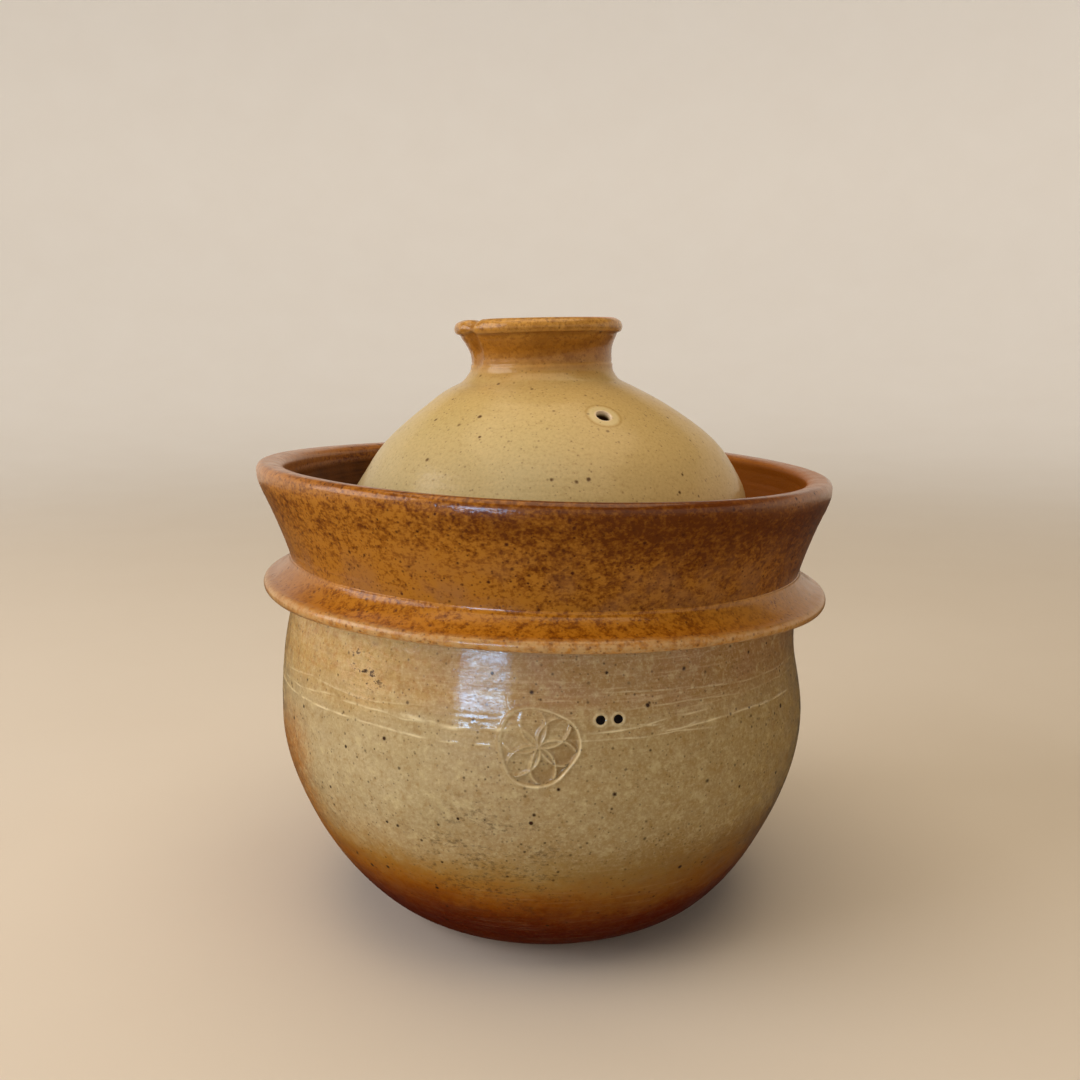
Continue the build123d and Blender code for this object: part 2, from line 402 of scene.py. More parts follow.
def seal_relief(azimuth, height, radius):
    """Relief of the seal's impression, how pale the glaze breaks along its edges, and the painted
    shade in its recesses."""
    worn = swell(azimuth, height, 60, 5, 10)
    u = np.radians(wrapped(azimuth - SEAL_AZIMUTH)) * radius + 0.22 * swell(azimuth, height, 40, 9)
    v = height - SEAL_HEIGHT + 0.22 * swell(azimuth, height, 40, 9)
    reach = np.hypot(u, v)
    edge = SEAL_RADIUS + 0.5 * np.sin(3 * np.arctan2(v, u) + 0.7)
    inside = 1 - blend_in(reach, edge - 0.9, edge)
    lines = 0.0
    for k in range(6):
        turn = math.radians(60 * k + 12)
        distance = np.hypot(u - PETAL_RADIUS * math.cos(turn), v - PETAL_RADIUS * math.sin(turn))
        lines = np.maximum(lines, bump(distance - PETAL_RADIUS, 0.36) * (reach < edge - 0.8))
    heart = bump(reach, 0.9)
    raised = np.maximum(lines, heart)
    press = np.clip(0.7 + 0.05 * u - 0.045 * v, 0.15, 1.35)
    depth = SEAL_DEPTH * press * inside * (1 - 0.8 * raised)
    burr = 0.2 * bump(reach - edge - 0.25, 0.4)
    faint = blend_in(press, 0.2, 1.1)
    pale = np.maximum(0.9 * bump(reach - edge + 0.05, 0.2), 0.4 * raised ** 4 * inside)
    pale = pale * (0.45 + 0.55 * faint) * np.clip(0.75 + 0.45 * worn, 0.1, 1)
    # Painted shade in the recesses, strongest at the lower right where the stamp is pressed deepest.
    deep = inside * (1 - raised) * blend_in(press, 0.75, 1.3)
    return burr - depth, pale, deep


def ridge_path(azimuth, *stations):
    """Height of a wandering raised line at each azimuth, and 1 where the line exists."""
    at, heights = zip(*stations)
    along = wrapped(azimuth)
    level = np.interp(along, at, heights)
    fade = blend_in(along, at[0] - 6, at[0] + 6) * (1 - blend_in(along, at[-1] - 5, at[-1] + 3))
    return level, fade


def shoulder_swell(azimuth, radius, height):
    """How far the real shoulder stands out from the CAD outline: most at the front left."""
    rounder = BELLY_RADIUS - SHOULDER_CURVE * (height - BELLY_HEIGHT) ** 2 - radius
    side = 0.3 + 0.75 * np.cos(np.radians(azimuth + 50))
    below_seat = 1 - blend_in(height, 103, SEAT)
    return rounder * side * blend_in(height, BELLY_HEIGHT, BELLY_HEIGHT + 8) * below_seat


def shape_bowl(azimuth, radius, height, facing, bend):
    """Bowl: throwing lines, raised glaze lines round the shoulder, the seal and the dot pockets."""
    outside = blend_in(facing[0], 0.05, 0.3)
    offset = 0.28 * swell(azimuth, height, 3, 60) + 0.05 * swell(azimuth, height, 6, 25)
    lines = throwing_lines(azimuth, height, 1.5, 4.2)
    offset = offset * outside + lines * (0.01 * outside + 0.04 * (1 - outside))
    offset = offset + outside * shoulder_swell(azimuth, radius, height)
    pale = 0.0 * offset
    for width, proud, shade, stations in RIDGES:
        level, fade = ridge_path(azimuth, *stations)
        level = level + 0.14 * swell(azimuth, 0 * height, 24, 50)
        level = level + 0.07 * swell(azimuth, 0 * height, 90, 50)
        strength = fade * np.clip(0.7 + 0.6 * swell(azimuth, 0 * height, 70, 50), 0, 1) * outside
        offset = offset + proud * bump(height - level, 1.4 * width) * strength
        pale = np.maximum(pale, shade * bump(height - level, width) * strength)
    # The seal's relief, its pale rim and the painted shade of its recesses.
    press, seal_pale, deep = seal_relief(azimuth, height, 84.8)
    offset = offset + press * outside
    pale = np.maximum(pale, seal_pale * outside)
    turns, level = dot_azimuths()
    for turn in turns:
        reach = np.hypot(np.radians(wrapped(azimuth - turn)) * 83.6, height - level)
        pocket = 0.5 * (1 - blend_in(reach, 0.9, 1.35))
        offset = offset + outside * (0.12 * bump(reach - 1.75, 0.3) - pocket)
        pale = np.maximum(pale, 0.5 * bump(reach - 1.65, 0.3) * outside)
    offset = offset * blend_in(height + 40 * (1 - outside), 0.5, 9)
    return offset, pot_lean, {"pale": pale, "deep": deep * outside}


# Raised lines of glaze round the shoulder: width, height above the wall, paleness, and the
# (azimuth, height) stations each one wanders through
RIDGES = (
    (0.17, 0.10, 0.8, (
        (-82, 78.0), (-63, 78.3), (-50, 78.5), (-42, 78.9), (-31, 78.4), (-19, 77.8), (-9, 77.6))),
    (0.15, 0.08, 0.7, ((-46, 82.2), (-38, 82.6), (-30, 82.6), (-26, 81.9), (-21, 82.4), (-18, 81.6))),
    # The third line is painted paler than the rest, partly as a highlight on its bright step.
    (0.40, 0.30, 1.25, ((-25, 82.5), (-20, 82.0), (-16, 81.6), (-12, 81.8), (-6, 82.1))),
    (0.14, 0.06, 0.6, ((-76, 79.4), (-60, 81.0), (-51, 82.0), (-44, 83.2))),
    (0.14, 0.06, 0.4, ((-70, 83.0), (-52, 85.4), (-38, 84.6), (-22, 86.0))),
    (0.16, 0.10, 0.8, ((5, 80.7), (9, 80.9), (14, 81.4), (18, 82.1), (23, 83.4), (31, 84.2))),
    (0.16, 0.10, 0.8, ((24, 80.2), (31, 80.6), (36, 80.8), (42, 81.0), (48, 80.7), (62, 79.6))),
    (0.17, 0.10, 0.8, ((14, 83.0), (18, 82.6), (21, 82.2), (23, 79.9), (27, 80.3), (30, 81.4))),
    (0.13, 0.05, 0.6, ((5, 79.4), (13, 79.3), (19, 79.0), (25, 79.6), (33, 78.6))),
    (0.13, 0.05, 0.55, ((12, 92.0), (20, 91.7), (30, 91.0), (43, 89.6), (60, 89.2), (76, 87.8))),
    (0.13, 0.05, 0.45, ((16, 87.2), (28, 87.8), (40, 86.4), (56, 86.0), (70, 85.2))),
    (0.17, 0.10, 0.8, ((68, 80.2), (90, 79.0), (130, 81.0), (178, 80.0))),
    (0.17, 0.10, 0.8, ((-178, 80.0), (-140, 81.0), (-100, 79.5), (-74, 78.2))),
)


def shape_collar(azimuth, radius, height, facing, bend):
    """Collar: soft throwing lines, and a wavy lip that is low at the front and the back left."""
    offset = 0.22 * swell(azimuth, height, 3, 70) + 0.035 * throwing_lines(azimuth, height, 1.4, 5)
    wave = 0.35 * swell(azimuth, 0 * height, 4, 50) * blend_in(height, 130, LIP_TOP)
    free = blend_in(height, NECK + 1, CREASE + 5)
    offset = offset + 0.55 * blend_in(height, 118, 138) * blend_in(facing[0], -0.2, 0.4)
    crest = np.clip(bend * 3.4, 0, 1) * blend_in(height, 132, 138)
    edge = blend_in(radius, 87.5, 91.5)
    front = np.clip(np.cos(np.radians(azimuth - 25)), 0, 1) ** 2
    back_left = np.clip(np.cos(np.radians(azimuth + 135)), 0, 1)
    lift = 0.5 * edge - (0.6 + 0.4 * front) * (1 - edge) - 0.6 * back_left
    wave = wave + blend_in(height, 132, 140) * lift
    offset = offset - 0.45 * bump(np.hypot(radius - LIP_RADIUS, height - LIP_EDGE), 1.8)
    return offset * free, lifted(pot_lean, wave), {"pale": crest}


def shape_flange(azimuth, radius, height, facing, bend):
    """Flange: an uneven edge, a slightly wavy skirt and a fillet where it leaves the collar."""
    out = blend_in(radius, 83, 89)
    offset = 0.22 * swell(azimuth, 0 * height, 6, 50) * out
    fillet = 0.9 * np.exp(-np.abs(radius - FLANGE_ROOT) / 0.5) * blend_in(facing[1], 0.1, 0.5)
    offset = offset + fillet * (1 - blend_in(FLANGE_ROOT - radius, 0, 0.6))
    wave = 0.4 * swell(azimuth, 0 * height, 4, 50) * out
    return offset, lifted(pot_lean, wave), {"pale": np.clip(bend * 2.0, 0, 1)}


# ==== the lid

def lid_lean(places):
    """The dome sits a little right of the axis, and the knob leans and sits left of it."""
    x, z = places[..., 0], places[..., 2]
    rise = blend_in(z, SEAT + 8, SEAT + 30)
    top = blend_in(z, KNOB_FOOT - 22, KNOB_FOOT + 6)
    shift = np.zeros_like(places)
    shift[..., 0] = DOME_OFFSET * rise * (1 - top) + KNOB_OFFSET * top
    shift[..., 0] += NECK_OFFSET * bump(z - NECK_LINE, 4.5)
    shift[..., 2] = KNOB_TILT * x * top - 0.5 * blend_in(z, NECK_LINE + 6, KNOB_TOP)
    return shift


def shape_dome(azimuth, radius, height, facing, bend):
    """Dome: gentle wobble, faint throwing lines and a flatter lower wall, true where the brim rests."""
    free = blend_in(height, SEAT + 6, SEAT + 14)
    offset = 0.25 * swell(azimuth, height, 3, 60) + 0.02 * throwing_lines(azimuth, height, 1.2, 4)
    near_foot = 1 - blend_in(height, KNOB_FOOT - 7, KNOB_FOOT - 1)
    left = -np.sin(np.radians(azimuth))
    flat = (1.5 + 0.35 * left) * bump(height - 143, 5.5)
    flat = flat + 0.5 * np.clip(left, 0, 1) * bump(height - 158, 8)
    offset = offset - flat * blend_in(facing[0], 0, 0.2)
    return offset * free * near_foot, lid_lean, {"pale": np.clip(bend * 2, 0, 1)}


def shape_knob(azimuth, radius, height, facing, bend):
    """Knob: a rolled lip with a step below it, a scored line at the neck and a pressed groove."""
    outside = blend_in(facing[0], -0.1, 0.3)
    rise = blend_in(height, KNOB_FOOT + 1, KNOB_FOOT + 6)
    offset = 0.12 * swell(azimuth, height, 3, 20) + 0.03 * throwing_lines(azimuth, height, 0.9, 3)
    step = LIP_STEP + 0.25 * swell(azimuth, 0 * height, 9, 50)
    lip = blend_in(height, step - 0.3, step + 0.5) * (1 - blend_in(height, KNOB_TOP - 1.6, KNOB_TOP))
    offset = offset + 0.4 * lip - 0.25 * bump(height - step + 0.6, 0.4)
    line = NECK_LINE + 0.2 * swell(azimuth, 0 * height, 5, 50)
    offset = offset - 0.16 * bump(height - line, 0.3) + 0.12 * bump(height - line + 0.8, 0.35)
    offset = offset - 0.3 * bump(height - line + 2.8, 0.8)
    leaned = GROOVE_AZIMUTH - 0.7 * (KNOB_TOP - height)
    across = np.radians(wrapped(azimuth - leaned)) * KNOB_RADIUS
    groove = bump(across, GROOVE_WIDTH / 2.4) * blend_in(height, NECK_LINE - 4, NECK_LINE + 5)
    beads = bump(np.abs(across) - 0.75 * GROOVE_WIDTH, 0.6) * blend_in(height, 174, 178)
    beads = beads * (0.6 + 0.4 * np.sin(height * 2.3 + 3 * np.sign(across)))
    offset = offset * rise * outside - GROOVE_DEPTH * groove * outside + 0.3 * beads * outside
    dip = -0.5 * bump(across, GROOVE_WIDTH / 2.4) * blend_in(height, 183, KNOB_TOP)
    # Pale: painted highlights on the lip's lower edge and on the groove's beads, and thin glaze at the
    # neck line. Deep: painted shade in the groove and under the lip's step.
    attributes = {
        "pale": np.clip(0.6 * bump(height - step - 0.6, 0.3) * outside + 0.4 * beads
                        + 0.6 * bump(height - line + 0.6, 0.25) * outside, 0, 1),
        "deep": np.clip((0.7 * groove + 0.9 * bump(height - step + 0.5, 0.4)) * outside, 0, 1),
    }
    return offset, lifted(lid_lean, dip), attributes


def hole_axis():
    """A point on the steam hole's axis at the dome's surface, and the way out."""
    turn, rise = math.radians(HOLE_AZIMUTH), math.radians(HOLE_SLOPE)
    x, y = HOLE_RADIUS * math.sin(turn) + HOLE_SHIFT, -HOLE_RADIUS * math.cos(turn)
    point = Vector((x, y, HOLE_HEIGHT)) * MM
    out = Vector((math.sin(turn) * math.cos(rise), -math.cos(turn) * math.cos(rise), math.sin(rise)))
    return point, out


def pierce_dome(dome):
    """Cuts the steam hole with a tool whose sides flare where it leaves the clay."""
    point, out = hole_axis()
    sides = 48
    across = out.orthogonal().normalized()
    up = out.cross(across)
    places = []
    for depth, width in HOLE_FLARE:
        for k in range(sides):
            turn = 2 * math.pi * k / sides
            ring = across * math.cos(turn) + up * math.sin(turn)
            places.append(point + (out * depth + ring * width * HOLE_DIAMETER / 2) * MM)
    ends = [tuple(range(sides))[::-1], tuple(range(len(places) - sides, len(places)))]
    tool = add_mesh("steam_hole_tool", places, ends + ring_faces(0, len(HOLE_FLARE), sides))
    cut = dome.modifiers.new("steam_hole", "BOOLEAN")
    cut.operation = "DIFFERENCE"
    cut.solver = "EXACT"
    cut.object = tool
    apply_modifiers(dome)
    bpy.data.objects.remove(tool)


def apply_modifiers(piece):
    """Turns a piece's modifiers into mesh."""
    shown = piece.evaluated_get(bpy.context.evaluated_depsgraph_get())
    mesh = bpy.data.meshes.new_from_object(shown)
    piece.modifiers.clear()
    piece.data = mesh


# ==== materials

def srgb(red, green, blue):
    """Linear colour from 0 to 255 display values."""
    return tuple(
        value / 12.92 if value <= 0.04045 else ((value + 0.055) / 1.055) ** 2.4
        for value in (red / 255, green / 255, blue / 255)
    )


class Shader:
    """Builds one material's node tree from short calls. Lengths are in millimetres, and colours are
    0 to 255 display values."""

    def __init__(self, name):
        self.material = bpy.data.materials.new(name)
        self.material.use_nodes = True
        self.tree = self.material.node_tree
        self.tree.nodes.clear()
        self.place = self.node("ShaderNodeTexCoord").outputs["Object"]
        split = self.node("ShaderNodeSeparateXYZ", {"Vector": self.place}).outputs
        self.x = self.math("DIVIDE", split["X"], MM)
        self.y = self.math("DIVIDE", split["Y"], MM)
        self.z = self.math("DIVIDE", split["Z"], MM)
        squares = self.plus(self.math("POWER", self.x, 2), self.math("POWER", self.y, 2))
        self.radius = self.math("SQRT", squares)

    def node(self, kind, inputs=None, **settings):
        made = self.tree.nodes.new(kind)
        for key, value in settings.items():
            setattr(made, key, value)
        for key, value in (inputs or {}).items():
            self.feed(made.inputs[key], value)
        return made

    def feed(self, socket, value):
        if isinstance(value, bpy.types.NodeSocket):
            self.tree.links.new(value, socket)
        elif socket.type == "RGBA":
            socket.default_value = (*srgb(*value), 1)
        else:
            socket.default_value = value

    def math(self, operation, a, b=0.0, clamp=False):
        made = self.node("ShaderNodeMath", {0: a}, operation=operation, use_clamp=clamp)
        if operation not in ("SQRT", "ABSOLUTE"):
            self.feed(made.inputs[1], b)
        return made.outputs[0]

    def plus(self, a, b):
        return self.math("ADD", a, b)

    def times(self, a, b):
        return self.math("MULTIPLY", a, b)

    def mix(self, share, a, b):
        """Colour a with a share of colour b."""
        made = self.node("ShaderNodeMix", data_type="RGBA")
        for place, value in ((0, share), (6, a), (7, b)):
            self.feed(made.inputs[place], value)
        return made.outputs[2]

    def ease(self, value, low, high, start=0.0, end=1.0):
        """Smooth start to end as value goes from low to high."""
        made = self.node(
            "ShaderNodeMapRange",
            {"Value": value, "From Min": low, "From Max": high, "To Min": start, "To Max": end},
            interpolation_type="SMOOTHSTEP",
        )
        return made.outputs["Result"]

    def noise(self, size, detail=3.0, rough=0.55, stretch=(1, 1, 1), seed=0.0):
        """Noise from 0 to 1 with features of a size; stretch shrinks it along an axis."""
        moved = self.node("ShaderNodeMapping", {
            "Vector": self.place, "Location": (seed, seed * 0.7, seed * 0.3), "Scale": stretch,
        }).outputs["Vector"]
        made = self.node(
            "ShaderNodeTexNoise",
            {"Vector": moved, "Scale": 1 / (size * MM), "Detail": detail, "Roughness": rough},
        )
        return made.outputs["Fac"]

    def satin(self, low, high):
        """Roughness that wanders between two values."""
        return self.ease(self.noise(5, 3), 0.3, 0.7, low, high)

    def sway(self, amount, *args, **settings):
        """Noise about 0 that spans an amount."""
        return self.times(self.math("SUBTRACT", self.noise(*args, **settings), 0.5), amount)

    def spots(self, size, radius, share, seed=0.0):
        """Round specks: cells of a size, of which a share holds a speck of up to a radius."""
        moved = self.node(
            "ShaderNodeMapping", {"Vector": self.place, "Location": (seed, seed, seed)}
        ).outputs["Vector"]
        cells = self.node("ShaderNodeTexVoronoi", {"Vector": moved, "Scale": 1 / (size * MM)})
        chance = self.node("ShaderNodeSeparateColor", {"Color": cells.outputs["Color"]}).outputs
        here = self.math("LESS_THAN", chance[0], share)
        reach = self.times(self.math("MULTIPLY_ADD", chance[1], 0.75), radius / size)
        reach = self.plus(reach, 0.25 * radius / size)
        ragged = self.sway(0.5 * radius / size, 0.5, 2)
        distance = self.plus(cells.outputs["Distance"], ragged)
        inside = self.math("SUBTRACT", 1.0, self.math("DIVIDE", distance, reach))
        strength = self.times(self.math("MULTIPLY_ADD", chance[2], 0.7), here)
        strength = self.plus(strength, self.times(here, 0.3))
        return self.times(self.ease(inside, -0.1, 0.7), strength)

    def bands(self, value, *stops):
        """Colour that runs smoothly through (value, colour) stops."""
        low, high = stops[0][0], stops[-1][0]
        part = self.math("DIVIDE", self.math("SUBTRACT", value, low), high - low)
        made = self.node("ShaderNodeValToRGB", {"Fac": part})
        ramp = made.color_ramp
        ramp.interpolation = "CARDINAL"
        for _ in stops[2:]:
            ramp.elements.new(0.5)
        for element, (place, colour) in zip(ramp.elements, stops):
            element.position = (place - low) / (high - low)
            element.color = (*srgb(*colour), 1)
        return made.outputs["Color"]

    def vector(self, operation, a, b, output):
        made = self.node("ShaderNodeVectorMath", {0: a, 1: b}, operation=operation)
        return made.outputs[output]

    def attribute(self, name):
        return self.node("ShaderNodeAttribute", attribute_name=name).outputs["Fac"]

    def toward(self, azimuth):
        """1 on the side that faces an azimuth, -1 on the far side."""
        turn = math.radians(azimuth)
        across = self.times(self.x, math.sin(turn))
        ahead = self.times(self.y, -math.cos(turn))
        return self.math("DIVIDE", self.plus(across, ahead), self.math("MAXIMUM", self.radius, 1.0))

    def near(self, x, y, z, size):
        """1 at a place, fading to 0 at a distance of size."""
        away = self.vector("DISTANCE", self.place, (x * MM, y * MM, z * MM), "Value")
        return self.math("SUBTRACT", 1.0, self.math("DIVIDE", away, size * MM), clamp=True)

    def finish(self, colour, roughness, relief, shine=0.5, coat=0.0, depth=0.05, glow=0.0):
        """Joins the colour, roughness and relief to the surface, and gives back the material. Shine
        scales the reflections of glaze and coat."""
        lifted = self.node("ShaderNodeBump", {
            "Height": relief, "Strength": 1.0, "Distance": depth * MM,
        }).outputs["Normal"]
        surface = self.node("ShaderNodeBsdfPrincipled", {
            "Base Color": colour, "Roughness": roughness, "Normal": lifted, "IOR": 1.5,
            "Specular IOR Level": self.times(shine, 0.12),
            "Coat Weight": self.times(shine, coat), "Coat Roughness": 0.08,
            "Coat Normal": lifted, "Emission Color": colour, "Emission Strength": glow,
        })
        output = self.node("ShaderNodeOutputMaterial")
        self.tree.links.new(surface.outputs["BSDF"], output.inputs["Surface"])
        return self.material


def glaze_relief(shader, specks, lines=0.3):
    """Height of the fired surface: orange peel, faint turned lines and little pits at the specks."""
    peel = shader.noise(1.0, 2)
    fine = shader.times(shader.noise(0.35, 2), 0.4)
    turned = shader.times(shader.noise(1.0, 3, stretch=(0.03, 0.03, 1)), lines)
    height = shader.plus(shader.plus(peel, fine), turned)
    return shader.math("SUBTRACT", height, shader.times(specks, 0.6))


def bare_clay(shader):
    """Colour of unglazed stoneware: warm, grainy and speckled."""
    base = shader.mix(shader.ease(shader.noise(6, 4), 0.35, 0.65), (176, 128, 92), (150, 100, 68))
    grain = shader.mix(shader.ease(shader.noise(0.5, 2), 0.45, 0.7), base, (205, 165, 130))
    return shader.mix(shader.spots(1.3, 0.32, 0.6, seed=3.0), grain, (60, 36, 22))


def iron_specks(shader, bold, faint):
    """Iron spots, 0 to 1: a few bold ones with soft edges among many faint ones."""
    large = shader.times(shader.spots(5.2, 0.62, 0.6), bold)
    middle = shader.times(shader.spots(3.1, 0.42, 0.7, seed=1.0), 0.6 * bold)
    small = shader.times(shader.spots(1.6, 0.3, 0.8, seed=2.0), faint)
    return shader.math("MAXIMUM", shader.math("MAXIMUM", large, middle), small)


def inside_mask(shader):
    """1 on the inner faces of the pot, from which side of the wall faces the axis."""
    normal = shader.node("ShaderNodeNewGeometry").outputs["True Normal"]
    flat = shader.vector("MULTIPLY", shader.place, (1, 1, 0), "Vector")
    away = shader.vector("NORMALIZE", flat, (0, 0, 0), "Vector")
    dot = shader.vector("DOT_PRODUCT", normal, away, "Value")
    inward = shader.ease(dot, 0.0, -0.25)
    floor = shader.times(shader.ease(shader.z, 5, 8), shader.ease(dot, 0.3, 0.1))
    return shader.math("MAXIMUM", inward, floor)


def inner_glaze(shader):
    """Dark brown inside glaze with faint brushed lines, more orange at the right."""
    brush = shader.noise(1.6, 4, stretch=(0.05, 0.05, 1), seed=5.0)
    colour = shader.mix(shader.ease(brush, 0.3, 0.7), (64, 35, 8), (88, 52, 15))
    cloud = shader.ease(shader.noise(18, 3, seed=2.0), 0.35, 0.7, 0, 0.5)
    colour = shader.mix(cloud, colour, (118, 70, 22))
    return shader.mix(shader.ease(shader.toward(90), 0.0, 0.9, 0, 0.65), colour, (182, 110, 38))


def bowl_material():
    """Ash glaze: beige belly, tan shoulder with a pinkish front right, amber foot and left side, a
    foot ring that is almost black, bare base."""
    shader = Shader("ash_glaze_bowl")
    wander = shader.sway(10, 18, 4)
    ragged = shader.sway(9, 3, 4, 0.65, seed=13.0)
    level = shader.plus(shader.z, shader.plus(wander, ragged))
    colour = shader.bands(
        level, (1, (100, 34, 2)), (8, (79, 20, 0)), (17, (84, 25, 0)),
        (24, (112, 51, 1)), (31, (140, 80, 10)), (39, (152, 108, 46)),
        (50, (162, 134, 88)), (62, (168, 145, 102)), (84, (170, 145, 100)),
    )
    belly = shader.ease(level, 34, 50)
    cloud = shader.times(shader.ease(shader.noise(24, 3, seed=9.0), 0.35, 0.65, 0, 0.35), belly)
    colour = shader.mix(cloud, colour, (184, 162, 122))
    rosy = shader.times(shader.ease(shader.toward(12), 0.8, 1.0, 0, 0.4), shader.ease(level, 38, 50))
    colour = shader.mix(rosy, colour, (176, 142, 108))
    front_right = shader.toward(60)
    right = shader.times(shader.ease(front_right, -0.2, 0.85, 0, 0.7), shader.ease(level, 24, 42))
    colour = shader.mix(right, colour, (146, 119, 66))
    # Darker brown low on the front right.
    darker_low_front_right = shader.times(shader.ease(front_right, 0.3, 0.95, 0, 0.6), shader.ease(level, 52, 38))
    darker_low_front_right = shader.times(darker_low_front_right, shader.ease(level, 18, 26))
    colour = shader.mix(darker_low_front_right, colour, (116, 74, 22))
    colour = shoulder_tan(shader, colour)
    # Painted shade: the shoulder darker at the front right.
    painted_shade_right_shoulder = shader.times(shader.ease(front_right, 0.2, 0.95, 0, 0.45), shader.ease(shader.z, 80, 92))
    colour = shader.mix(painted_shade_right_shoulder, colour, (138, 98, 50))
    side = shader.plus(shader.toward(-95), shader.times(ragged, 0.014))
    blush = shader.times(shader.ease(side, 0.70, 0.86), shader.ease(level, 80, 58))
    blush = shader.times(blush, shader.ease(level, 15, 32, 0, 0.92))
    colour = shader.mix(blush, colour, (164, 99, 20))
    colour = ash_mottle(shader, colour, belly)
    # Pale glaze along the raised lines, round the seal and round the dots; on the third line it is
    # partly a painted highlight.
    thin_glaze_and_painted_light = shader.times(shader.attribute("pale"), shader.ease(shader.noise(2.0, 2), 0.3, 0.5, 0.5, 1))
    colour = shader.mix(shader.times(thin_glaze_and_painted_light, 0.85), colour, (230, 208, 160))
    # Painted shade in the seal's recesses.
    colour = shader.mix(shader.times(shader.attribute("deep"), 0.5), colour, (128, 88, 38))
    smear = shader.times(iron_smear(shader), 0.85)
    crust, halo = iron_crust(shader)
    colour = shader.mix(halo, colour, (204, 166, 112))
    specks = shader.math("MAXIMUM", iron_specks(shader, 0.95, 0.4), smear)
    specks = shader.math("MAXIMUM", specks, crust)
    colour = shader.mix(specks, colour, (50, 26, 8))
    inner = inside_mask(shader)
    colour = shader.mix(inner, colour, inner_glaze(shader))
    base = shader.ease(shader.z, 0.9, 0.3)
    colour = shader.mix(base, colour, bare_clay(shader))
    shine = shader.times(shader.ease(level, 8, 45, 0.1, 1.0), shader.ease(inner, 0, 1, 1, 0.25))
    uneven = shader.ease(shader.noise(4, 5, 0.7, stretch=(0.6, 0.6, 1), seed=31.0), 0.4, 0.6, 0.4, 1.1)
    shine = shader.times(shine, uneven)
    rough = shader.satin(0.34, 0.46)
    rough = shader.math("MAXIMUM", rough, shader.times(base, 0.85))
    relief = glaze_relief(shader, specks, 0.25)
    return shader.finish(colour, rough, relief, shine, coat=0.7, depth=0.028)


def shoulder_tan(shader, colour):
    """Warms the shoulder: yellow tan at the left, pinkish from the front on, finely ringed."""
    streaks = shader.noise(7, 3, stretch=(0.1, 0.1, 1), seed=6.0)
    edge = shader.plus(shader.z, shader.times(shader.math("SUBTRACT", streaks, 0.5), 20))
    share = shader.ease(shader.noise(14, 3, seed=3.0), 0.4, 0.62)
    pink = shader.mix(share, (158, 120, 70), (156, 114, 74))
    left = shader.ease(shader.plus(shader.toward(-75), shader.times(streaks, 0.3)), 0.45, 1.0)
    amber = shader.ease(shader.noise(2.0, 4, 0.65, seed=17.0), 0.45, 0.62)
    tan = shader.mix(amber, (180, 143, 80), (172, 124, 60))
    tone = shader.mix(left, pink, tan)
    colour = shader.mix(shader.ease(edge, 80, 92, 0, 0.85), colour, tone)
    rings = shader.noise(0.7, 4, 0.6, stretch=(0.04, 0.04, 1))
    high = shader.times(shader.ease(shader.z, 76, 92, 0.08, 0.6), shader.ease(left, 0, 1, 1, 0.4))
    patches = shader.noise(9, 3, stretch=(0.5, 0.5, 1), seed=21.0)
    patchy = shader.times(high, shader.ease(patches, 0.35, 0.6, 0.3, 1))
    colour = shader.mix(shader.times(shader.ease(rings, 0.52, 0.68), patchy), colour, (206, 174, 128))
    return shader.mix(shader.times(shader.ease(rings, 0.46, 0.32), patchy), colour, (142, 98, 56))


def ash_mottle(shader, colour, belly):
    """Breaks the ash glaze up into soft light and brown patches of several sizes."""
    fine = shader.noise(0.9, 3, 0.65)
    patch = shader.noise(3.0, 4, 0.6, seed=19.0)
    light = shader.times(shader.ease(fine, 0.48, 0.7, 0, 0.28), belly)
    colour = shader.mix(light, colour, (208, 184, 138))
    colour = shader.mix(shader.ease(fine, 0.5, 0.3, 0, 0.25), colour, (126, 84, 36))
    soft = shader.times(shader.ease(patch, 0.52, 0.7, 0, 0.32), belly)
    colour = shader.mix(soft, colour, (204, 182, 130))
    brown = shader.times(shader.ease(patch, 0.48, 0.3, 0, 0.45), belly)
    return shader.mix(brown, colour, (140, 104, 52))


def iron_smear(shader):
    """Brown streaks where iron bled at the lower front left."""
    place = (62 * math.sin(math.radians(-14)), -76 * math.cos(math.radians(-14)), 42)
    spread = shader.near(*place, 30)
    grain = shader.noise(1.1, 4, 0.75, stretch=(0.6, 0.6, 1), seed=8.0)
    patch = shader.noise(5, 3, stretch=(0.45, 0.45, 1.6), seed=12.0)
    amount = shader.times(shader.ease(grain, 0.46, 0.66, 0, 0.7), shader.ease(patch, 0.42, 0.56))
    return shader.times(amount, shader.ease(spread, 0.0, 0.5))


def iron_crust(shader):
    """Cluster of iron bits on the left shoulder and the pale glaze drawn out round them, 0 to 1."""
    spread = shader.near(80 * math.sin(math.radians(-37)), -80 * math.cos(math.radians(-37)), 92, 13)
    grain = shader.noise(2.2, 4, 0.7, stretch=(0.55, 0.55, 1), seed=15.0)
    bits = shader.times(shader.ease(grain, 0.56, 0.64), shader.ease(spread, 0.1, 0.6))
    ring = shader.times(shader.ease(grain, 0.46, 0.56), shader.ease(spread, 0.0, 0.5, 0, 0.5))
    return shader.times(bits, 0.95), ring


